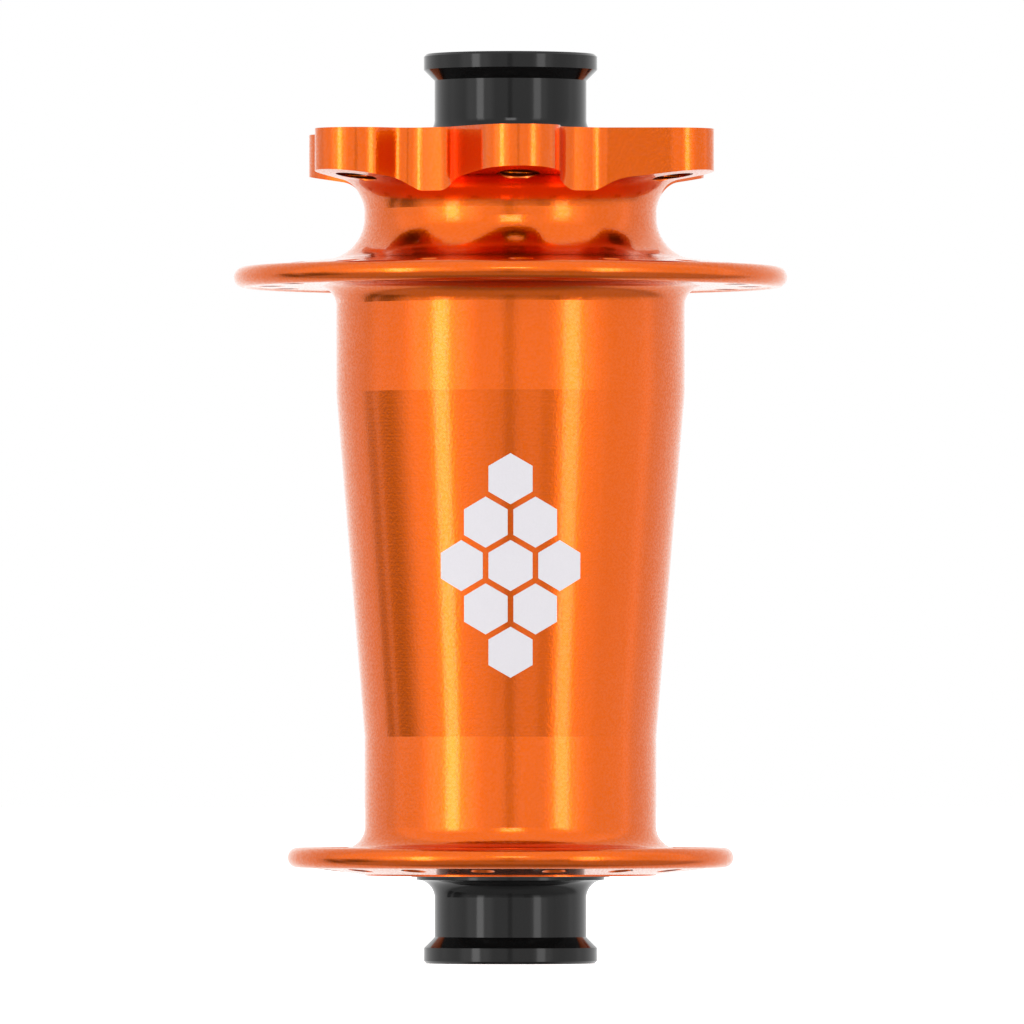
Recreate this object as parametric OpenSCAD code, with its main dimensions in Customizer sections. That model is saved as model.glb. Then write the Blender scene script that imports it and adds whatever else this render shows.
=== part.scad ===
// Front bicycle hub for a 15 mm thru-axle and a six-bolt disc rotor, with J-bend spoke flanges.
// Origin: on the axle axis, halfway between the outer faces of the two end caps.
// +Z runs along the axle towards the disc side. A rotor bolt and a spoke hole lie towards -Y.

/* [Overall] */
// Distance between the outer faces of the two end caps
over_locknut_width = 110; // [92:1:150]
// Bore of the end caps, which the thru-axle slides through
thru_axle_d = 15; // [12:0.5:16]

/* [End caps] */
// Diameter of the rim that seats in the fork dropout
cap_rim_d = 21; // [20:0.1:24]
// Height of that rim
cap_rim_h = 1.9; // [1:0.1:3]
// Diameter of the waist between rim and shoulder
cap_waist_d = 18.4; // [17.6:0.1:19.4]
// Part of each cap that stands outside its bearing
cap_length = 11.4; // [9.6:0.1:14]
// Height of the shoulder that runs in the dust seal
cap_shoulder_h = 1.3; // [1:0.1:2]
// How far the shoulder reaches over the inner race, past the bearing bore
cap_shoulder_overlap = 1.4; // [1:0.1:1.5]
// Concave radius between waist and shoulder
cap_flare_r = 2.2; // [1:0.1:2.2]
// Length of the spigot that plugs into the axle
spigot_length = 9; // [7:0.5:14]
// Distance from the shoulder to the middle of the O-ring groove
groove_offset = 5.4; // [3:0.1:6]
// Width of the O-ring groove
groove_w = 1; // [0.9:0.1:1.4]
// Cap wall left under the O-ring groove
groove_wall = 0.55; // [0.4:0.05:0.7]
// Edge break on the rim and on the cap's bore
cap_chamfer = 0.3; // [0.1:0.05:0.5]

/* [Axle] */
// Wall of the axle tube under the bearings
axle_wall = 1.2; // [0.9:0.05:1.4]
// Height of the collar that stops each inner race, over the bearing seat
collar_h = 1.4; // [0.8:0.1:1.6]
// Width of that collar
collar_w = 1.2; // [0.8:0.1:3]
// Diameter of the tube between the collars
axle_mid_d = 20.8; // [20:0.1:24]
// How far each axle end stops short of the bearing's outer face
axle_end_recess = 0.2; // [0.1:0.05:0.5]

/* [Bearings] */
// Bore of the cartridge bearings
bearing_bore = 20; // [20:0.5:22]
// Outer diameter of the cartridge bearings
bearing_od = 32; // [31:0.5:38.5]
// Width of the cartridge bearings
bearing_w = 7; // [6:0.5:8.5]
// Diameter of the balls
ball_d = 3.5; // [3:0.1:3.6]
// Number of balls in each bearing
ball_count = 13; // [9:1:14]
// Radial thickness of the cage
cage_t = 1.1; // [0.8:0.1:1.3]
// Thickness of each shield
shield_t = 0.5; // [0.3:0.05:0.6]
// Edge break on the races
race_chamfer = 0.3; // [0.1:0.05:0.5]

/* [Seals] */
// Thickness of the dust seals
seal_t = 0.6; // [0.4:0.05:0.7]
// Width of the thickened sealing lip
seal_lip_w = 0.5; // [0.3:0.1:1]

/* [Rotor mount] */
// Bolt circle of the six rotor bolts
rotor_pcd = 44; // [44:0.5:50]
// Outer diameter of the thread in the rotor bolt holes
rotor_hole_d = 5; // [4:0.1:6]
// Radius of the lobe around each bolt
lobe_r = 5; // [4:0.1:5.4]
// Height of the mount at the lobe tips
mount_h = 5; // [4:0.1:6]
// Slope of the mount's underside
mount_slope = 8.5; // [4:0.5:12]
// Height of the scallop floors over the neck
scallop_floor_h = 0.6; // [0.3:0.1:1.2]
// Radius of the inner corners of the scallops
scallop_corner_r = 3.4; // [2.5:0.1:3.6]
// Arc of scallop floor between its two corners, in degrees
scallop_floor_arc = 7; // [2:1:12]
// How far the rotor face lies inboard of the cap face
rotor_face_inset = 9.4; // [8.5:0.1:10.5]
// Concave radius from the neck up into the mount
neck_mount_fillet_r = 3.8; // [2:0.1:4]
// Concave radius from the neck down into the disc flange
neck_flange_fillet_r = 5.1; // [2:0.1:5.2]

/* [Spoke flanges] */
// Spoke circle of the disc-side flange
disc_spoke_pcd = 58; // [54:0.5:70]
// Spoke circle of the plain-side flange
plain_spoke_pcd = 45; // [44:0.5:54]
// Spoke holes in each flange
spokes_per_flange = 16; // [12:2:18]
// Diameter of the spoke holes
spoke_hole_d = 2.6; // [2.2:0.1:3]
// Countersink around the spoke holes
spoke_csk = 0.25; // [0.1:0.05:0.4]
// Metal outside the spoke circle
flange_edge = 4.5; // [3.5:0.1:6]
// Thickness of the rounded bead along each rim
rim_bead_d = 2.5; // [2.2:0.1:3]
// Thickness of the flange where it meets the bead
web_t = 2.2; // [1.8:0.1:2.2]
// Distance from the rotor face to the middle of the disc flange's rim
rotor_to_flange = 17.6; // [16.8:0.1:22]
// Distance from the shell's plain end to the middle of the plain flange's rim
plain_end_to_flange = 2.2; // [2:0.1:3]
// Slope of the disc flange's outer face
disc_flange_slope = 6; // [3:0.5:8]
// Slope of the plain flange's outer face
plain_flange_slope = 7; // [3:0.5:8]

/* [Barrel] */
// Diameter of the barrel's wide cylinder next to the disc flange
barrel_d = 42.2; // [41:0.1:46]
// Length of that cylinder, from the flange's rim
barrel_wide_l = 14; // [8:0.5:16]
// Length of the narrow cylinder, from the plain flange's rim
barrel_narrow_l = 14.6; // [10:0.1:16]
// Wall of the neck around the disc-side bearing
neck_wall = 1.7; // [1.3:0.05:2.2]
// Wall of the barrel around the plain-side bearing
narrow_wall = 1.65; // [1.3:0.05:2.5]
// Wall of the barrel between the bearings
barrel_wall = 2.2; // [1.8:0.1:3]
// Concave radius under the disc flange
disc_root_r = 2.3; // [1:0.1:3]
// Concave radius on top of the plain flange
plain_root_r = 2.7; // [1:0.1:3]
// Height of the lip that stops each outer race, inside the bearing pocket
stop_lip_h = 1.2; // [0.8:0.1:1.6]
// Width of that lip
stop_lip_w = 1.5; // [1:0.1:3]
// How far the shell stands past the bearing on the plain side
plain_end_h = 0.8; // [0.7:0.05:1.2]

/* [Fits] */
// Gap between pieces that are pressed or bonded together
press_gap = 0.01; // [0.005:0.005:0.02]
// Gap around a piece that slides out by hand
slide_gap = 0.03; // [0.02:0.01:0.06]
// Gap between pieces that turn past each other
running_gap = 0.05; // [0.03:0.01:0.1]

/* [Hidden] */
$fn = 96;

// Heights from the middle of the hub
cap_face_z = over_locknut_width / 2;
bearing_out_z = cap_face_z - cap_length;
bearing_in_z = bearing_out_z - bearing_w;
bearing_mid_z = bearing_out_z - bearing_w / 2;
rotor_face_z = cap_face_z - rotor_face_inset;
disc_flange_z = rotor_face_z - rotor_to_flange;
plain_end_z = bearing_out_z + plain_end_h;
plain_flange_z = plain_end_z - plain_end_to_flange;

// Radii of the axle and caps
bore_r = thru_axle_d / 2;
seat_r = bearing_bore / 2 - press_gap;
axle_bore_r = seat_r - axle_wall;
spigot_r = axle_bore_r - slide_gap;
groove_r = bore_r + groove_wall;
shoulder_r = bearing_bore / 2 + cap_shoulder_overlap;
waist_r = cap_waist_d / 2;
rim_r = cap_rim_d / 2;
spigot_chamfer = 0.4;

// Radii of the bearings
ball_r = ball_d / 2;
pitch_r = (bearing_bore + bearing_od) / 4;
groove_clearance = 0.03;
land_gap = 0.36 * ball_d;
inner_land_r = pitch_r - land_gap;
outer_land_r = pitch_r + land_gap;
shield_step = 0.35;
shield_inset = 0.2;
cage_clearance = 0.05;
cage_below = 0.63 * ball_d;
cage_above = 0.26 * ball_d;

// Radii of the shell
pocket_r = bearing_od / 2;
neck_r = pocket_r + neck_wall;
narrow_r = pocket_r + narrow_wall;
barrel_r = barrel_d / 2;
stop_lip_r = pocket_r - stop_lip_h;
bead_r = rim_bead_d / 2;
disc_rim_r = disc_spoke_pcd / 2 + flange_edge;
plain_rim_r = plain_spoke_pcd / 2 + flange_edge;
disc_bead_r = disc_rim_r - bead_r;
plain_bead_r = plain_rim_r - bead_r;
mouth_chamfer = 0.3;
thread_chamfer = 0.1;
bolt_count = 6;
bolt_step = 360 / bolt_count;
towards_front = -90;

// The mount's scallops: a steep side, parallel to the lobe, and a straight ramp up to the next lobe
lobe_at = rotor_pcd / 2;
floor_r = neck_r + scallop_floor_h;
corner_at = floor_r + scallop_corner_r;
steep_angle = asin((lobe_r + scallop_corner_r) / corner_at);
ramp_angle = steep_angle + scallop_floor_arc - bolt_step;
mount_tip_r = lobe_at + lobe_r;
mount_low_z = rotor_face_z - mount_h;

far = 100;
overlap = 0.5;
// Rounds run this far past true tangency, so that they cross the faces cleanly
bite = 0.003;

// Unit vector at an angle, and the tangents of the slopes
function dir(angle) = [cos(angle), sin(angle)];
function under_z(r) = mount_low_z - (mount_tip_r - r) * tan(mount_slope);
function disc_outer_z(r) = disc_flange_z + web_t / 2 + (disc_bead_r - r) * tan(disc_flange_slope);
function plain_outer_z(r) = plain_flange_z + web_t / 2 + (plain_bead_r - r) * tan(plain_flange_slope);

// Draws what follows on the disc side, or mirrored on the plain side
module on_side(disc) {
  if (disc) children();
  else mirror([0, 0, 1]) children();
}

// A concave fillet where two straight faces leave the point at angles a and b
module fillet(corner, a, b, r) {
  half = (b - a) / 2;
  centre = corner + (r - bite) / sin(half) * dir(a + half);
  difference() {
    polygon([
      corner - overlap * dir(a + half),
      centre + (r + overlap) * dir(a - 90),
      centre,
      centre + (r + overlap) * dir(b + 90)
    ]);
    translate(centre) circle(r);
  }
}

// A ring's section with broken edges, from r0 to r1 and from z0 to z1
module ring_section(r0, r1, z0, z1, inner_break, outer_break) {
  polygon([
    [r0 + inner_break, z0], [r1 - outer_break, z0], [r1, z0 + outer_break], [r1, z1 - outer_break],
    [r1 - outer_break, z1], [r0 + inner_break, z1], [r0, z1 - inner_break], [r0, z0 + inner_break]
  ]);
}

// ---- Hub shell ----

// Plan of one lobe, pointing along +X, with its steep side towards +Y
module lobe_plan() {
  steep_corner = corner_at * dir(steep_angle);
  ramp_corner = corner_at * dir(ramp_angle);
  lobe_centre = [lobe_at, 0];
  // The ramp is the crossing tangent of the lobe and the ramp corner
  to_corner = ramp_corner - lobe_centre;
  ramp_normal = atan2(to_corner.y, to_corner.x) + acos((lobe_r + scallop_corner_r) / norm(to_corner));
  circle_on_lobe = lobe_centre + lobe_r * dir(ramp_normal);
  circle_on_corner = ramp_corner - scallop_corner_r * dir(ramp_normal);
  difference() {
    polygon([
      lobe_centre,
      [lobe_at, lobe_r],
      [steep_corner.x, lobe_r],
      steep_corner,
      floor_r * dir(steep_angle),
      [0, 0],
      floor_r * dir(ramp_angle),
      ramp_corner,
      circle_on_corner,
      circle_on_lobe
    ]);
    translate(steep_corner) circle(scallop_corner_r + bite);
    translate(ramp_corner) circle(scallop_corner_r + bite);
  }
  translate(lobe_centre) circle(lobe_r + bite);
}

module mount_plan() {
  circle(floor_r);
  for (i = [0 : bolt_count - 1]) {
    rotate(towards_front + i * bolt_step) lobe_plan();
  }
}

// Everything inside the mount's face and underside, before the scallops are cut
module mount_section() {
  polygon([
    [0, under_z(neck_r)],
    [neck_r, under_z(neck_r)],
    [mount_tip_r + overlap, under_z(mount_tip_r + overlap)],
    [mount_tip_r + overlap, rotor_face_z],
    [0, rotor_face_z]
  ]);
  fillet([neck_r, under_z(neck_r)], towards_front, mount_slope, neck_mount_fillet_r);
}

module rotor_mount() {
  intersection() {
    translate([0, 0, disc_flange_z]) linear_extrude(rotor_face_z - disc_flange_z) mount_plan();
    rotate_extrude() mount_section();
  }
}

module disc_flange_section() {
  translate([disc_bead_r, disc_flange_z]) circle(bead_r);
  polygon([
    [0, disc_flange_z - web_t / 2],
    [disc_bead_r, disc_flange_z - web_t / 2],
    [disc_bead_r, disc_outer_z(disc_bead_r)],
    [neck_r, disc_outer_z(neck_r)],
    [0, disc_outer_z(neck_r)]
  ]);
  fillet([neck_r, disc_outer_z(neck_r)], -disc_flange_slope, 90, neck_flange_fillet_r);
  fillet([barrel_r, disc_flange_z - web_t / 2], towards_front, 0, disc_root_r);
}

// Drawn on the positive side and mirrored into place
module plain_flange_section() {
  translate([plain_bead_r, plain_flange_z]) circle(bead_r);
  polygon([
    [0, plain_flange_z - web_t / 2],
    [plain_bead_r, plain_flange_z - web_t / 2],
    [plain_bead_r, plain_outer_z(plain_bead_r)],
    [narrow_r, min(plain_outer_z(narrow_r), plain_end_z)],
    [narrow_r, plain_end_z],
    [0, plain_end_z]
  ]);
  fillet([narrow_r, plain_flange_z - web_t / 2], towards_front, 0, plain_root_r);
}

module barrel_section() {
  polygon([
    [0, -plain_flange_z],
    [narrow_r, -plain_flange_z],
    [narrow_r, barrel_narrow_l - plain_flange_z],
    [barrel_r, disc_flange_z - barrel_wide_l],
    [barrel_r, disc_flange_z],
    [0, disc_flange_z]
  ]);
  translate([0, disc_flange_z - web_t]) square([neck_r, under_z(neck_r) + overlap - disc_flange_z + web_t]);
}

// The relieved bore between the two lips that stop the outer races
module relief_section() {
  relief_top_z = disc_flange_z - web_t / 2 - disc_root_r;
  relief_r = neck_r - barrel_wall;
  wide_r = barrel_r - barrel_wall;
  narrow_bore_r = narrow_r - barrel_wall;
  lip_z = bearing_in_z - stop_lip_w;
  polygon([
    [0, -lip_z],
    [narrow_bore_r, -lip_z],
    [narrow_bore_r, barrel_narrow_l - plain_flange_z],
    [wide_r, disc_flange_z - barrel_wide_l],
    [wide_r, relief_top_z - (wide_r - relief_r)],
    [relief_r, relief_top_z],
    [relief_r, lip_z],
    [0, lip_z]
  ]);
}

// A bearing pocket, open at its mouth, with the mouth's edge broken
module bearing_pocket(mouth_z) {
  translate([0, 0, bearing_in_z]) cylinder(h = far, r = pocket_r);
  translate([0, 0, mouth_z - mouth_chamfer])
    cylinder(h = 2 * mouth_chamfer, r1 = pocket_r, r2 = pocket_r + 2 * mouth_chamfer);
}

module shell_bore() {
  rotate_extrude() relief_section();
  cylinder(h = 2 * bearing_out_z, r = stop_lip_r, center = true);
  bearing_pocket(rotor_face_z);
  mirror([0, 0, 1]) bearing_pocket(plain_end_z);
}

// A through hole with a countersink at each of two faces
module faced_hole(r, csk, low_z, high_z) {
  translate([0, 0, low_z - overlap]) cylinder(h = high_z - low_z + 2 * overlap, r = r);
  translate([0, 0, high_z - csk]) cylinder(h = 2 * csk, r1 = r, r2 = r + 2 * csk);
  translate([0, 0, low_z - csk]) cylinder(h = 2 * csk, r1 = r + 2 * csk, r2 = r);
}

module spoke_holes(pcd, low_z, high_z, first_angle) {
  for (i = [0 : spokes_per_flange - 1]) {
    rotate(first_angle + i * 360 / spokes_per_flange)
      translate([pcd / 2, 0, 0]) faced_hole(spoke_hole_d / 2, spoke_csk, low_z, high_z);
  }
}

module hub_shell() {
  half_pitch = 180 / spokes_per_flange;
  color("darkorange") difference() {
    union() {
      rotate_extrude() {
        barrel_section();
        disc_flange_section();
      }
      mirror([0, 0, 1]) rotate_extrude() plain_flange_section();
      rotor_mount();
    }
    shell_bore();
    for (i = [0 : bolt_count - 1]) {
      rotate(towards_front + i * bolt_step) translate([lobe_at, 0, 0])
        faced_hole(rotor_hole_d / 2, thread_chamfer, under_z(lobe_at), rotor_face_z);
    }
    spoke_holes(
      disc_spoke_pcd, disc_flange_z - web_t / 2, disc_outer_z(disc_spoke_pcd / 2), towards_front
    );
    mirror([0, 0, 1]) spoke_holes(
      plain_spoke_pcd, plain_flange_z - web_t / 2, plain_outer_z(plain_spoke_pcd / 2),
      towards_front + half_pitch
    );
  }
}

// ---- Axle and end caps ----

module axle() {
  end_z = bearing_out_z - axle_end_recess;
  collar_top_z = bearing_in_z - press_gap;
  collar_r = seat_r + collar_h;
  color("silver") difference() {
    rotate_extrude() {
      ring_section(0, seat_r, -end_z, end_z, 0, cap_chamfer);
      translate([0, collar_w - collar_top_z]) square([axle_mid_d / 2, 2 * (collar_top_z - collar_w)]);
      translate([0, collar_top_z - collar_w]) square([collar_r, collar_w]);
      translate([0, -collar_top_z]) square([collar_r, collar_w]);
    }
    cylinder(h = 2 * far, r = axle_bore_r, center = true);
    // Lead-in for the spigots
    for (disc = [true, false]) on_side(disc) translate([0, 0, end_z - spigot_chamfer])
      cylinder(h = 2 * spigot_chamfer, r1 = axle_bore_r, r2 = axle_bore_r + 2 * spigot_chamfer);
  }
}

module end_cap(disc) {
  shoulder_z = bearing_out_z + press_gap;
  shoulder_top_z = shoulder_z + cap_shoulder_h;
  cone_h = rim_r - waist_r;
  spigot_end_z = shoulder_z - spigot_length;
  groove_z = shoulder_z - groove_offset;
  color("dimgray") on_side(disc) rotate_extrude() difference() {
    union() {
      // Spigot, shoulder, waist and rim
      ring_section(0, spigot_r, spigot_end_z, cap_face_z, 0, spigot_chamfer);
      translate([0, shoulder_z]) square([shoulder_r, cap_shoulder_h]);
      translate([0, shoulder_z]) square([waist_r, cap_face_z - overlap - shoulder_z]);
      fillet([waist_r, shoulder_top_z], 0, 90, min(cap_flare_r, shoulder_r - waist_r));
      polygon([
        [0, cap_face_z - cap_rim_h - cone_h],
        [waist_r, cap_face_z - cap_rim_h - cone_h],
        [rim_r, cap_face_z - cap_rim_h],
        [rim_r, cap_face_z - cap_chamfer],
        [rim_r - cap_chamfer, cap_face_z],
        [0, cap_face_z]
      ]);
    }
    translate([0, -far]) square([bore_r, 2 * far]);
    translate([groove_r, groove_z - groove_w / 2]) square([spigot_r, groove_w]);
    polygon([
      [0, cap_face_z - bore_r - cap_chamfer],
      [bore_r + 2 * cap_chamfer, cap_face_z + cap_chamfer],
      [0, cap_face_z + cap_chamfer]
    ]);
  }
}

// Squeezed against the axle's bore, and as thick as its groove is deep or wide
module cap_oring(disc) {
  section_r = min(axle_bore_r - groove_r, groove_w) / 2 - press_gap;
  color("black") on_side(disc) rotate_extrude()
    translate([axle_bore_r - press_gap - section_r, bearing_out_z + press_gap - groove_offset])
      circle(section_r);
}

// ---- Cartridge bearings ----

module ball_groove() {
  translate([pitch_r, bearing_mid_z]) circle(ball_r + groove_clearance);
}

module outer_race(disc) {
  step_h = shield_t + shield_inset;
  step_r = outer_land_r + shield_step;
  color("lightsteelblue") on_side(disc) rotate_extrude() difference() {
    ring_section(outer_land_r, pocket_r - press_gap, bearing_in_z, bearing_out_z, 0, race_chamfer);
    ball_groove();
    // Steps that hold the shields
    translate([0, bearing_out_z - step_h]) square([step_r, far]);
    translate([0, bearing_in_z + step_h - far]) square([step_r, far]);
  }
}

module inner_race(disc) {
  color("lightsteelblue") on_side(disc) rotate_extrude() difference() {
    ring_section(bearing_bore / 2, inner_land_r, bearing_in_z, bearing_out_z, race_chamfer, 0);
    ball_groove();
  }
}

// Moves what follows to the place of each ball
module each_ball() {
  for (i = [0 : ball_count - 1]) {
    rotate(i * 360 / ball_count) translate([pitch_r, 0, bearing_mid_z]) children();
  }
}

module balls(disc) {
  color("gainsboro") on_side(disc) each_ball() sphere(ball_r);
}

// A crown cage, closed on its inboard side, with pockets that the balls snap into
module cage(disc) {
  color("ivory") on_side(disc) difference() {
    rotate_extrude() translate([pitch_r - cage_t / 2, bearing_mid_z - cage_below])
      square([cage_t, cage_below + cage_above]);
    each_ball() sphere(ball_r + cage_clearance);
  }
}

module shield(disc, outboard) {
  inner_r = inner_land_r + 2 * running_gap;
  outer_r = outer_land_r + shield_step - press_gap;
  inset = shield_inset - press_gap;
  low_z = outboard ? bearing_out_z - inset - shield_t : bearing_in_z + inset;
  color("dimgray") on_side(disc) rotate_extrude()
    translate([inner_r, low_z]) square([outer_r - inner_r, shield_t]);
}

// ---- Dust seals ----

// A rubber disc pressed into the mouth of the shell, with a lip that runs on the cap's shoulder
module dust_seal(disc) {
  low_z = bearing_out_z + running_gap;
  lip_r = shoulder_r + running_gap;
  color("darkslategray") on_side(disc) rotate_extrude() {
    translate([lip_r, low_z]) square([pocket_r - press_gap - lip_r, seal_t]);
    polygon([
      [lip_r, low_z],
      [lip_r + 2 * seal_lip_w, low_z],
      [lip_r + 2 * seal_lip_w, low_z + seal_t],
      [lip_r + seal_lip_w, low_z + 1.5 * seal_t],
      [lip_r, low_z + 1.5 * seal_t]
    ]);
  }
}

hub_shell();
axle();
end_cap(true);  // disc_end_cap
end_cap(false);  // plain_end_cap
cap_oring(true);  // disc_cap_oring
cap_oring(false);  // plain_cap_oring
dust_seal(true);  // disc_dust_seal
dust_seal(false);  // plain_dust_seal
outer_race(true);  // disc_outer_race
inner_race(true);  // disc_inner_race
balls(true);  // disc_balls
cage(true);  // disc_cage
shield(true, true);  // disc_outboard_shield
shield(true, false);  // disc_inboard_shield
outer_race(false);  // plain_outer_race
inner_race(false);  // plain_inner_race
balls(false);  // plain_balls
cage(false);  // plain_cage
shield(false, true);  // plain_outboard_shield
shield(false, false);  // plain_inboard_shield
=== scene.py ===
"""Front bicycle hub: an orange anodised shell on cartridge bearings, with black end caps."""
import math

import bmesh
import bpy
from mathutils import Matrix, Vector


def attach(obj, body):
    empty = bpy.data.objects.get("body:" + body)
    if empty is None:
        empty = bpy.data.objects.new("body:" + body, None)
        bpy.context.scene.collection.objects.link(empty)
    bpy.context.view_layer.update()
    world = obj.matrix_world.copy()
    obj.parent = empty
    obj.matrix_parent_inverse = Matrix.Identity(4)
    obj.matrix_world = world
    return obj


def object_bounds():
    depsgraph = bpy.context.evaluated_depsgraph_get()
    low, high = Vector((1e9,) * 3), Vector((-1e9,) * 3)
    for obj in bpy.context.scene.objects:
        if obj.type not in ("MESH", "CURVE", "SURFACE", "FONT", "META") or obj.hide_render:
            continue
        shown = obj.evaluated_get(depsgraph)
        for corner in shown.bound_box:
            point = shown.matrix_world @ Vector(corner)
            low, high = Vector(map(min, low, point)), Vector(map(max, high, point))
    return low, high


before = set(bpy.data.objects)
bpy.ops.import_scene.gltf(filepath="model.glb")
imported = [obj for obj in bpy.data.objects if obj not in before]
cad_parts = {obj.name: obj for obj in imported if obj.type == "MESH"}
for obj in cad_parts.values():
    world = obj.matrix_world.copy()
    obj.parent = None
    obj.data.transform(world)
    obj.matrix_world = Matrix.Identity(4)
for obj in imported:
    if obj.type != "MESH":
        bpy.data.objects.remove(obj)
cad_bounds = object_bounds()


# ---- Axle ----
# A tube turned from bare aluminium, with a stop collar for each inner race.
# Its ends show inside the bearings once the caps are off, with the marks of the lathe tool.

MM = 0.001
AXLE_GROOVE_PITCH = 0.25 * MM
AXLE_GROOVE_DEPTH = 0.004 * MM
AXLE_ROUGHNESS = 0.20, 0.32
AXLE_GREYS = (0.70, 0.71, 0.72), (0.80, 0.81, 0.82)


class Socket:
    """A shader value that ordinary arithmetic works on."""

    def __init__(self, finish, link):
        self.finish = finish
        self.link = link

    def maths(self, operation, *values):
        sockets = dict(enumerate(values))
        return self.finish.node("ShaderNodeMath", {"operation": operation}, sockets)["Value"]

    def __add__(self, other):
        return self.maths("ADD", self, other)

    def __sub__(self, other):
        return self.maths("SUBTRACT", self, other)

    def __rsub__(self, other):
        return self.maths("SUBTRACT", other, self)

    def __mul__(self, other):
        return self.maths("MULTIPLY", self, other)

    def __truediv__(self, other):
        return self.maths("DIVIDE", self, other)

    def __pow__(self, other):
        return self.maths("POWER", self, other)

    __radd__ = __add__
    __rmul__ = __mul__


class Finish:
    """A material, or the studio's world, built node by node."""

    def __init__(self, owner, shader="Principled BSDF"):
        owner.use_nodes = True
        self.owner = owner
        self.tree = owner.node_tree
        self.shader = self.tree.nodes[shader]

    def node(self, kind, settings, sockets):
        """Adds a node, applies its settings, then fills its sockets, named or numbered."""
        made = self.tree.nodes.new(kind)
        for key, value in settings.items():
            setattr(made, key, value)
        for key, value in sockets.items():
            self.fill(made.inputs[key], value)
        return {out.name: Socket(self, out) for out in made.outputs if out.enabled}

    def fill(self, socket, value):
        if isinstance(value, Socket):
            self.tree.links.new(value.link, socket)
        else:
            socket.default_value = value

    def set(self, **values):
        """Fills the shader's own sockets; an underscore stands for a space in their names."""
        for key, value in values.items():
            self.fill(self.shader.inputs[key.replace("_", " ")], value)
        return self.owner

    def place(self, kind="Object"):
        return self.node("ShaderNodeTexCoord", {}, {})[kind]

    def apart(self, vector):
        parts = self.node("ShaderNodeSeparateXYZ", {}, {0: vector})
        return parts["X"], parts["Y"], parts["Z"]

    def together(self, x, y, z):
        return self.node("ShaderNodeCombineXYZ", {}, {"X": x, "Y": y, "Z": z})["Vector"]

    def noise(self, vector, scale, detail=2.0, roughness=0.5):
        sockets = {"Vector": vector, "Scale": scale, "Detail": detail, "Roughness": roughness}
        return self.node("ShaderNodeTexNoise", {}, sockets)["Fac"]

    def rise(self, value, low, high):
        """Goes smoothly from 0 at low to 1 at high."""
        sockets = {"Value": value, "From Min": low, "From Max": high}
        return self.node("ShaderNodeMapRange", {"interpolation_type": "SMOOTHSTEP"}, sockets)["Result"]

    def bump(self, height, depth):
        sockets = {"Strength": 1.0, "Distance": depth, "Height": height}
        return self.node("ShaderNodeBump", {}, sockets)["Normal"]

    def between(self, amount, ends):
        """A number that goes from the first end to the second with amount."""
        low, high = ends
        return amount * (high - low) + low

    def tint(self, amount, colours):
        """A colour that goes from the first to the second with amount."""
        first, second = colours
        sockets = {0: amount, 6: (*first, 1), 7: (*second, 1)}
        return self.node("ShaderNodeMix", {"data_type": "RGBA"}, sockets)["Result"]

    def tool_marks(self, pitch):
        """The fine grooves of a lathe tool: rings that follow height on walls and radius on faces."""
        x, y, z = self.apart(self.place())
        radius = (x ** 2 + y ** 2) ** 0.5
        rings = self.together(radius / pitch, 0.0, z / pitch)
        return self.noise(rings, 1.0, detail=3.0, roughness=0.6)


def finish_of(name):
    return Finish(bpy.data.materials.new(name))


def turned_aluminium():
    finish = finish_of("plain_aluminium")
    grooves = finish.tool_marks(AXLE_GROOVE_PITCH)
    return finish.set(
        Base_Color=finish.tint(grooves, AXLE_GREYS), Metallic=1.0,
        Roughness=finish.between(grooves, AXLE_ROUGHNESS),
        Normal=finish.bump(grooves, AXLE_GROOVE_DEPTH), Anisotropic=0.6, Anisotropic_Rotation=0.25,
    )


def dress(material, *nodes):
    """Gives CAD nodes their finished material."""
    for node in nodes:
        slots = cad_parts[node].data.materials
        slots.clear()
        slots.append(material)


dress(turned_aluminium(), "axle")


# ---- Bearings ----
# Two cartridge bearings: ground steel races, mirror polished balls in a moulded nylon crown cage,
# and a pressed steel shield on either side. Their raceways and lands are ground round the axis.

SIDES = "disc", "plain"
GRINDING_PITCH = 0.06 * MM
GRINDING_DEPTH = 0.0006 * MM
RACE_GREYS = (0.52, 0.53, 0.55), (0.62, 0.63, 0.65)
RACE_ROUGHNESS = 0.12, 0.22
BALL_GREYS = (0.72, 0.73, 0.75), (0.78, 0.79, 0.81)
BALL_ROUGHNESS = 0.02, 0.10
SHIELD_GREYS = (0.36, 0.37, 0.39), (0.50, 0.51, 0.53)
SHIELD_ROUGHNESS = 0.28, 0.43
NYLON_CREAMS = (0.70, 0.63, 0.45), (0.80, 0.74, 0.58)
NYLON_ROUGHNESS = 0.35, 0.55
PRESSED_GRAIN = 1500.0
PRESSED_DEPTH = 0.006 * MM
NYLON_GRAIN = 900.0
NYLON_DEPTH = 0.01 * MM
NYLON_SCATTER = 0.3 * MM
GREASE_BLOOM = 260.0


def ground_steel():
    finish = finish_of("bearing_steel")
    scratches = finish.tool_marks(GRINDING_PITCH)
    bloom = finish.noise(finish.place(), GREASE_BLOOM, detail=3.0)
    return finish.set(
        Base_Color=finish.tint(bloom, RACE_GREYS), Metallic=1.0,
        Roughness=finish.between(scratches, RACE_ROUGHNESS), Normal=finish.bump(scratches, GRINDING_DEPTH),
    )


def polished_steel():
    finish = finish_of("ball_steel")
    bloom = finish.noise(finish.place(), GREASE_BLOOM, detail=3.0)
    return finish.set(
        Base_Color=finish.tint(bloom, BALL_GREYS), Metallic=1.0,
        Roughness=finish.between(bloom, BALL_ROUGHNESS),
    )


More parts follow.
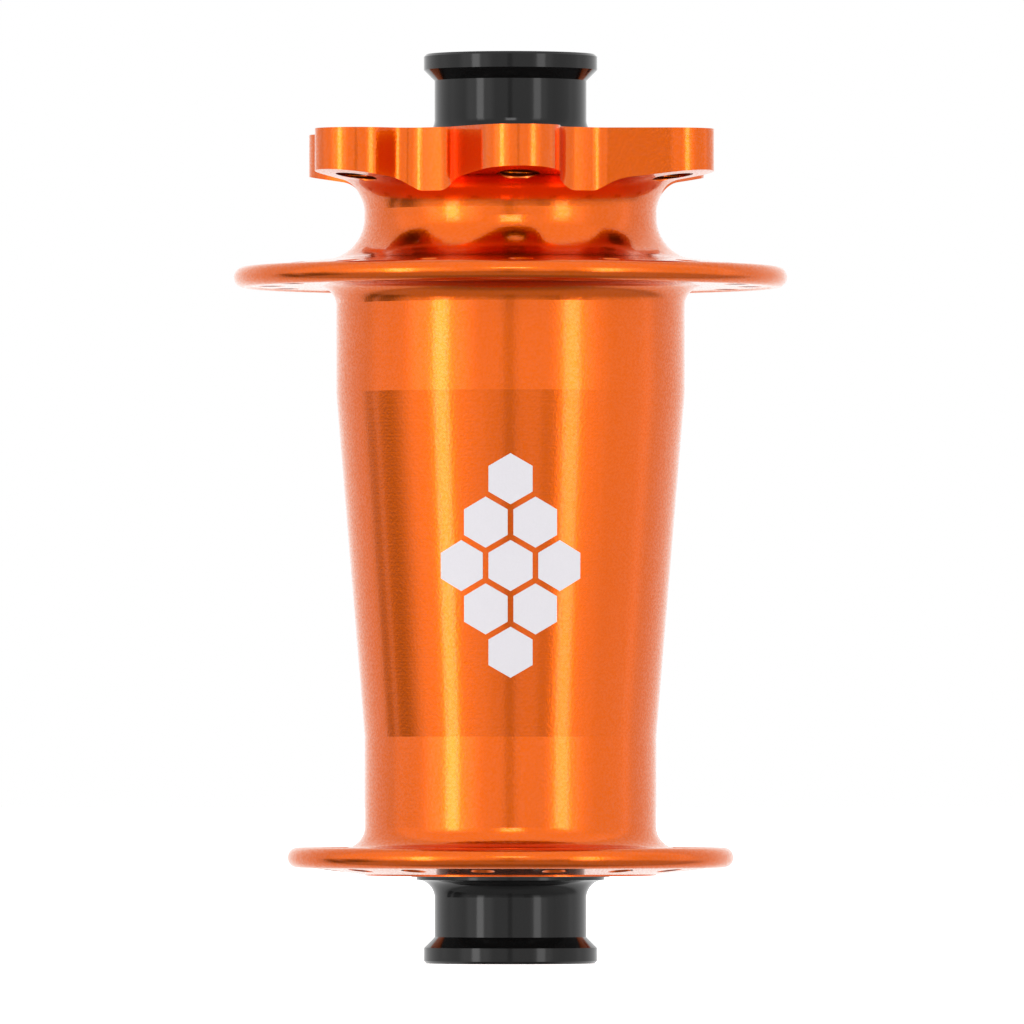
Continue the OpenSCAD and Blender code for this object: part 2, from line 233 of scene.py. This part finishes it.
def pressed_steel():
    finish = finish_of("shield_steel")
    grain = finish.noise(finish.place(), PRESSED_GRAIN, detail=4.0, roughness=0.6)
    return finish.set(
        Base_Color=finish.tint(grain, SHIELD_GREYS), Metallic=1.0,
        Roughness=finish.between(grain, SHIELD_ROUGHNESS), Normal=finish.bump(grain, PRESSED_DEPTH),
    )


def moulded_nylon():
    finish = finish_of("cage_nylon")
    grain = finish.noise(finish.place(), NYLON_GRAIN, detail=4.0, roughness=0.6)
    return finish.set(
        Base_Color=finish.tint(grain, NYLON_CREAMS), Roughness=finish.between(grain, NYLON_ROUGHNESS),
        Normal=finish.bump(grain, NYLON_DEPTH), Subsurface_Weight=0.1, Subsurface_Scale=NYLON_SCATTER,
    )


race_steel = ground_steel()
ball_steel = polished_steel()
shield_steel = pressed_steel()
cage_nylon = moulded_nylon()
for side in SIDES:
    dress(race_steel, f"{side}_outer_race", f"{side}_inner_race")
    dress(ball_steel, f"{side}_balls")
    dress(cage_nylon, f"{side}_cage")
    dress(shield_steel, f"{side}_outboard_shield", f"{side}_inboard_shield")


# ---- Hub shell ----
# Turned from one bar of aluminium, then milled for the rotor mount and drilled for the spokes.
# It is bright-dipped and dyed orange: a coloured mirror with turning lines, under a clear oxide skin.

SHELL_GROOVE_PITCH = 0.28 * MM
SHELL_GROOVE_DEPTH = 0.006 * MM
SHELL_SPECKLE = 2900.0
SHELL_SPECKLE_DEPTH = 0.011 * MM
SHELL_SPARKLE = 3600.0
SHELL_SPARKLE_STEP = 0.35, 0.65
SHELL_CLOUDS = 55.0
SHELL_ORANGES = (0.63, 0.094, 0.0008), (0.67, 0.104, 0.0012)
SHELL_EDGE_TINT = (1.0, 0.80, 0.66)
SHELL_ROUGHNESS = 0.16, 0.24
SHELL_SKIN = 0.4, 1.0


def anodised_orange():
    finish = finish_of("orange_anodised")
    place = finish.place()
    grooves = finish.tool_marks(SHELL_GROOVE_PITCH)
    speckle = finish.noise(place, SHELL_SPECKLE, detail=1.0)
    clouds = finish.noise(place, SHELL_CLOUDS, detail=3.0)
    sparkle = finish.rise(finish.noise(place, SHELL_SPARKLE, detail=1.0), *SHELL_SPARKLE_STEP)
    return finish.set(
        Base_Color=finish.tint(clouds, SHELL_ORANGES), Metallic=1.0,
        Roughness=finish.between(grooves, SHELL_ROUGHNESS),
        Normal=finish.bump(grooves * SHELL_GROOVE_DEPTH + speckle * SHELL_SPECKLE_DEPTH, 1.0),
        Specular_Tint=(*SHELL_EDGE_TINT, 1), Anisotropic=0.4, Anisotropic_Rotation=0.25,
        Coat_Weight=finish.between(sparkle, SHELL_SKIN), Coat_Roughness=0.05, Coat_IOR=1.34,
    )


shell_orange = anodised_orange()
dress(shell_orange, "hub_shell")


# ---- Rotor bolt threads ----
# Six M5 threads, tapped through the lobes of the mount before anodising, so they are orange too, but
# painted a dark brown that stands for the shade deep in the holes.
# Each is one ridge that winds up the hole, its root sunk in the wall.

BOLTS = 6
BOLT_CIRCLE_R = 22.0 * MM
FIRST_BOLT_ANGLE = -90
THREAD_PITCH = 0.8 * MM
THREAD_ROOT_R = 2.55 * MM
THREAD_CREST_R = 2.1 * MM
THREAD_FOOT_H = 0.35 * MM
THREAD_START_Z = 39.4 * MM
THREAD_TURNS = 8
THREAD_STEPS_A_TURN = 24
ROTOR_FACE_Z = 45.55 * MM
MOUNT_UNDERSIDE_Z = 39.9 * MM
MOUNT_SLOPE = math.radians(8.5)
# The thread colours are painted shade: a dark brown for the dark inside of the bolt holes.
THREAD_PAINTED_SHADE_BROWNS = (0.10, 0.016, 0.001), (0.20, 0.032, 0.002)
THREAD_ROUGHNESS = 0.4, 0.6
TEAR_GRAIN = 2400.0
TEAR_DEPTH = 0.02 * MM


def tapped_orange_painted_shade():
    """The tap leaves torn flanks; their dark brown colour is painted shade for the light lost deep in the
    holes.
    """
    finish = finish_of("tapped_orange_painted_shade")
    tears = finish.noise(finish.place(), TEAR_GRAIN, detail=3.0, roughness=0.6)
    return finish.set(
        Base_Color=finish.tint(tears, THREAD_PAINTED_SHADE_BROWNS), Metallic=1.0,
        Roughness=finish.between(tears, THREAD_ROUGHNESS), Normal=finish.bump(tears, TEAR_DEPTH),
    )


def link_mesh(name, shape, material, body):
    """Turns a finished shape into a piece that rides on a body and takes its finish from a slot."""
    mesh = bpy.data.meshes.new(name)
    shape.to_mesh(mesh)
    shape.free()
    mesh.materials.append(material)
    piece = bpy.data.objects.new(name, mesh)
    bpy.context.scene.collection.objects.link(piece)
    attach(piece, body)


def wind_thread(shape, at):
    """Spins a triangle up a helix about the hole's axis."""
    corners = [
        shape.verts.new((at.x + r, at.y, THREAD_START_Z + z))
        for r, z in ((THREAD_ROOT_R, -THREAD_FOOT_H), (THREAD_CREST_R, 0), (THREAD_ROOT_R, THREAD_FOOT_H))
    ]
    sides = [shape.edges.new((corners[i], corners[i - 1])) for i in range(3)]
    bmesh.ops.spin(
        shape, geom=corners + sides, cent=at, axis=(0, 0, 1),
        dvec=(0, 0, THREAD_PITCH / THREAD_STEPS_A_TURN), angle=THREAD_TURNS * math.tau,
        steps=THREAD_TURNS * THREAD_STEPS_A_TURN,
    )


def cut_off(shape, point, outward):
    """Cuts away what lies beyond a plane, and closes the cut."""
    parts = shape.verts[:] + shape.edges[:] + shape.faces[:]
    bmesh.ops.bisect_plane(shape, geom=parts, plane_co=point, plane_no=outward, clear_outer=True)
    bmesh.ops.holes_fill(shape, edges=[edge for edge in shape.edges if edge.is_boundary], sides=0)


threads = bmesh.new()
for bolt in range(BOLTS):
    bolt_angle = math.radians(FIRST_BOLT_ANGLE + 360 / BOLTS * bolt)
    away = Vector((math.cos(bolt_angle), math.sin(bolt_angle), 0))
    thread = bmesh.new()
    wind_thread(thread, away * BOLT_CIRCLE_R)
    cut_off(thread, (0, 0, ROTOR_FACE_Z), (0, 0, 1))
    underside = away * math.sin(MOUNT_SLOPE) - Vector((0, 0, math.cos(MOUNT_SLOPE)))
    cut_off(thread, away * BOLT_CIRCLE_R + Vector((0, 0, MOUNT_UNDERSIDE_Z)), underside)
    one_hole = bpy.data.meshes.new("one_hole")
    thread.to_mesh(one_hole)
    thread.free()
    threads.from_mesh(one_hole)
    bpy.data.meshes.remove(one_hole)
bmesh.ops.recalc_face_normals(threads, faces=threads.faces)
# The threads take the painted-shade finish, dark brown for the shade inside the holes.
link_mesh("rotor_bolt_threads", threads, tapped_orange_painted_shade(), "shell")


# ---- Graphic ----
# A pale grey screen print on the tapered part of the barrel: a plain honeycomb of nine cells.
# The ink stands a few hundredths of a millimetre proud, with a faint mesh of the screen in it.

CELL_ROWS = 1, 2, 3, 2, 1
CELL_WIDTH = 6.0 * MM
CELL_GAP = 0.7 * MM
INK_DEPTH = 0.03 * MM
INK_GREYS = (0.38, 0.37, 0.39), (0.43, 0.42, 0.445)
INK_ROUGHNESS = 0.42, 0.57
INK_SCREEN_PITCH = 0.12 * MM
INK_SCREEN_DEPTH = 0.004 * MM
GRAPHIC_Z = -7.1 * MM
GRAPHIC_TURN = math.radians(-2.5)
TAPER_TOP_Z = 14.0 * MM
TAPER_TOP_R = 21.1 * MM
TAPER_SLOPE = 0.0829
CELL_SIDES = 6
CELL_CUTS = 5


def printed_ink():
    finish = finish_of("pale_print")
    screen = finish.noise(finish.place(), 1 / INK_SCREEN_PITCH)
    return finish.set(
        Base_Color=finish.tint(screen, INK_GREYS), Roughness=finish.between(screen, INK_ROUGHNESS),
        Normal=finish.bump(screen, INK_SCREEN_DEPTH),
    )


def print_cell(shape, across, up):
    """One six-sided cell with a point at its top, flat in X and Z, as thick as the ink."""
    to_wall = Matrix.Rotation(math.radians(90), 4, "X")
    radius = (CELL_WIDTH - CELL_GAP) / math.sqrt(3)
    place = Matrix.Translation((across, 0, up)) @ to_wall
    made = bmesh.ops.create_circle(shape, cap_ends=True, segments=CELL_SIDES, radius=radius, matrix=place)
    face = made["verts"][0].link_faces[0]
    raised = bmesh.ops.extrude_face_region(shape, geom=[face])["geom"]
    lifted = [part for part in raised if isinstance(part, bmesh.types.BMVert)]
    bmesh.ops.translate(shape, verts=lifted, vec=(0, -INK_DEPTH, 0))


def wrap(shape):
    """Bends the flat print round the tapered wall."""
    for vert in shape.verts:
        across, out, up = vert.co
        z = GRAPHIC_Z + up
        radius = TAPER_TOP_R - (TAPER_TOP_Z - z) * TAPER_SLOPE - out
        angle = across / radius + GRAPHIC_TURN
        vert.co = (radius * math.sin(angle), -radius * math.cos(angle), z)


graphic = bmesh.new()
for row, cells in enumerate(CELL_ROWS):
    row_up = (row - (len(CELL_ROWS) - 1) / 2) * CELL_WIDTH * math.sqrt(3) / 2
    for cell in range(cells):
        print_cell(graphic, (cell - (cells - 1) / 2) * CELL_WIDTH, row_up)
bmesh.ops.triangulate(graphic, faces=[face for face in graphic.faces if len(face.verts) > 4])
bmesh.ops.subdivide_edges(graphic, edges=graphic.edges, cuts=CELL_CUTS, use_grid_fill=True)
wrap(graphic)
bmesh.ops.recalc_face_normals(graphic, faces=graphic.faces)
link_mesh("barrel_graphic", graphic, printed_ink(), "shell")


# ---- Dust seals ----
# Two moulded nitrile rings, pressed into the shell's mouths outside the bearings.
# Their lips run on the shoulders of the caps and keep the weather out.

RUBBER_BLACKS = (0.012, 0.012, 0.013), (0.03, 0.03, 0.031)
RUBBER_ROUGHNESS = 0.5, 0.7
RUBBER_GRAIN = 1800.0
RUBBER_DEPTH = 0.012 * MM


def moulded_rubber():
    finish = finish_of("seal_rubber")
    grain = finish.noise(finish.place(), RUBBER_GRAIN, detail=4.0, roughness=0.65)
    return finish.set(
        Base_Color=finish.tint(grain, RUBBER_BLACKS), Roughness=finish.between(grain, RUBBER_ROUGHNESS),
        Normal=finish.bump(grain, RUBBER_DEPTH),
    )


seal_rubber = moulded_rubber()
for side in SIDES:
    dress(seal_rubber, f"{side}_dust_seal")


# ---- End caps ----
# Two turned aluminium caps, anodised black, whose rims seat in the fork.
# They plug into the axle by hand, and a nitrile O-ring on each spigot holds them there.

CAP_GROOVE_PITCH = 0.22 * MM
CAP_RELIEF = 0.0016 * MM
CAP_SPECKLE = 5000.0
CAP_BLACKS = (0.002, 0.002, 0.002), (0.004, 0.004, 0.004)
CAP_ROUGHNESS = 0.07, 0.12


def anodised_black():
    finish = finish_of("black_anodised")
    grooves = finish.tool_marks(CAP_GROOVE_PITCH)
    speckle = finish.noise(finish.place(), CAP_SPECKLE, detail=2.0)
    return finish.set(
        Base_Color=finish.tint(speckle, CAP_BLACKS), Roughness=finish.between(grooves, CAP_ROUGHNESS),
        Normal=finish.bump(grooves + speckle, CAP_RELIEF), IOR=1.32,
    )


cap_black = anodised_black()
for side in SIDES:
    dress(cap_black, f"{side}_end_cap")
    dress(seal_rubber, f"{side}_cap_oring")


# ---- Stage ----
# A white floor, and a white tent round the hub. Two strip lights stand in front, left and right, with a
# darker gap between them for the camera. A grey flag hangs low on the left, and the tent dims low down.

FLOOR_HALF = 6.0
FLOOR_WHITE = (0.92, 0.92, 0.92, 1)
FLOOR_GLOW = 0.8
TENT = 1.4

# Patches of the tent, in degrees: azimuth 0 is the front and left is below zero, elevation 0 is level.
# The four numbers are where a patch starts, where it is full, where it begins to fade, and where it ends.
STRIP_HEIGHT = -25.0, -13.0, 13.0, 25.0
LOW_BAND = -31.0, -28.0, -6.0, -3.0
STRIPS = (
    {"across": (-56.5, -53.5, -45.5, -42.5), "radiance": 3.6},
    {"across": (31.5, 34.5, 43.0, 46.0), "radiance": 2.6},
)
GLOWS = (
    {"across": (-78.0, -66.0, -36.0, -24.0), "radiance": 0.8},
    {"across": (25.0, 34.0, 50.0, 59.0), "radiance": 0.6},
)
LENS_LAMP = {"across": (-12.0, -8.0, 4.0, 8.0), "up": (14.0, 17.0, 23.0, 26.0), "radiance": 5.0}
CAMERA_GAP = {"across": (-8.0, -5.0, -1.5, 1.5), "up": (-40.0, -30.0, 12.0, 22.0), "dim": 0.42}
RIGHT_WALL = {"across": (62.0, 68.0, 94.0, 100.0), "up": (-30.0, -20.0, 25.0, 35.0), "dim": 0.1}
LOW_FRONT = {"across": (-22.0, -16.0, 29.0, 35.0), "up": LOW_BAND, "dim": 0.15}
LOW_GAP = {"across": (17.0, 20.0, 27.0, 30.0), "up": LOW_BAND, "dim": 0.3}
FLAG = {"across": (-118.0, -115.0, -92.0, -72.0), "up": LOW_BAND, "dim": 0.75}
FLAG_LINE = {"across": (-108.0, -106.0, -102.5, -100.5), "lift": 0.6}
FLOOR_VIEW = {"across": (-130.0, -115.0, 115.0, 130.0), "top": (-25.0, -9.0), "dim": 0.5}
UNDERFOOT = {"top": (-75.0, -50.0), "dim": 0.5}
FRONT = -112.0, -100.0, 100.0, 112.0
BEHIND_DIM = 0.2


def window(sky, value, start, full, fade, gone):
    """1 between full and fade, and 0 before start and past gone."""
    return sky.rise(value, start, full) * (1 - sky.rise(value, fade, gone))


def studio_sky():
    """Reflections and light see the studio; the camera itself sees plain white."""
    sky = Finish(bpy.data.worlds.new("studio"), "Background")
    x, y, z = sky.apart(sky.place("Generated"))
    azimuth = x.maths("ARCTAN2", x, y * -1) * math.degrees(1)
    elevation = z.maths("ARCSINE", z) * math.degrees(1)

    def across(row):
        return window(sky, azimuth, *row)

    def up(row):
        return window(sky, elevation, *row)

    def below(edge):
        return 1 - sky.rise(elevation, *edge)

    light = TENT
    for strip in STRIPS:
        light = across(strip["across"]) * up(STRIP_HEIGHT) * strip["radiance"] + light
    for glow in GLOWS:
        light = across(glow["across"]) * up(STRIP_HEIGHT) * (1 - up(LOW_BAND)) * glow["radiance"] + light
    light = across(LENS_LAMP["across"]) * up(LENS_LAMP["up"]) * LENS_LAMP["radiance"] + light

    shade = 1
    for dark in (CAMERA_GAP, RIGHT_WALL, LOW_FRONT, LOW_GAP):
        shade = shade * (1 - across(dark["across"]) * up(dark["up"]) * dark["dim"])
    flag = across(FLAG["across"]) * up(FLAG["up"]) * (1 - across(FLAG_LINE["across"]) * FLAG_LINE["lift"])
    shade = shade * (1 - flag * FLAG["dim"])
    shade = shade * (1 - below(FLOOR_VIEW["top"]) * across(FLOOR_VIEW["across"]) * FLOOR_VIEW["dim"])
    shade = shade * (1 - below(UNDERFOOT["top"]) * UNDERFOOT["dim"])
    shade = shade * (1 - (1 - across(FRONT)) * BEHIND_DIM)

    seen = sky.node("ShaderNodeLightPath", {}, {})["Is Camera Ray"]
    return sky.set(Color=(1, 1, 1, 1), Strength=light * shade * (1 - seen) + seen)


bpy.context.scene.world = studio_sky()

floor_shape = bmesh.new()
bmesh.ops.create_grid(floor_shape, x_segments=1, y_segments=1, size=FLOOR_HALF)
bmesh.ops.translate(floor_shape, verts=floor_shape.verts, vec=(0, 0, cad_bounds[0].z))
floor_mesh = bpy.data.meshes.new("floor")
floor_shape.to_mesh(floor_mesh)
floor_shape.free()
floor_mesh.materials.append(finish_of("floor_white").set(
    Base_Color=FLOOR_WHITE, Roughness=0.9,
    Emission_Color=(1, 1, 1, 1), Emission_Strength=FLOOR_GLOW,
))
floor = bpy.data.objects.new("floor", floor_mesh)
bpy.context.scene.collection.objects.link(floor)
floor.visible_glossy = False
floor.visible_shadow = False


# ---- Camera ----
# A long lens, a little below the hub's middle and a little to its left.
# It is aimed almost at the hub's centre.

CAMERA_TURN = math.radians(2.5)
CAMERA_DISTANCE = 2.0
CAMERA_Z = -0.030
CAMERA_LENS = 581.0
CAMERA_SENSOR = 36.0
CAMERA_AIM = Vector((0.00018, 0.0, -0.0004))

camera_data = bpy.data.cameras.new("camera")
camera_data.sensor_width = CAMERA_SENSOR
camera_data.lens = CAMERA_LENS
camera = bpy.data.objects.new("camera", camera_data)
bpy.context.scene.collection.objects.link(camera)
camera.location = (
    -math.sin(CAMERA_TURN) * CAMERA_DISTANCE, -math.cos(CAMERA_TURN) * CAMERA_DISTANCE, CAMERA_Z,
)
camera.rotation_euler = (CAMERA_AIM - camera.location).to_track_quat("-Z", "Y").to_euler()
bpy.context.scene.camera = camera
bpy.context.scene.view_settings.view_transform = "Standard"
bpy.context.scene.view_settings.look = "None"
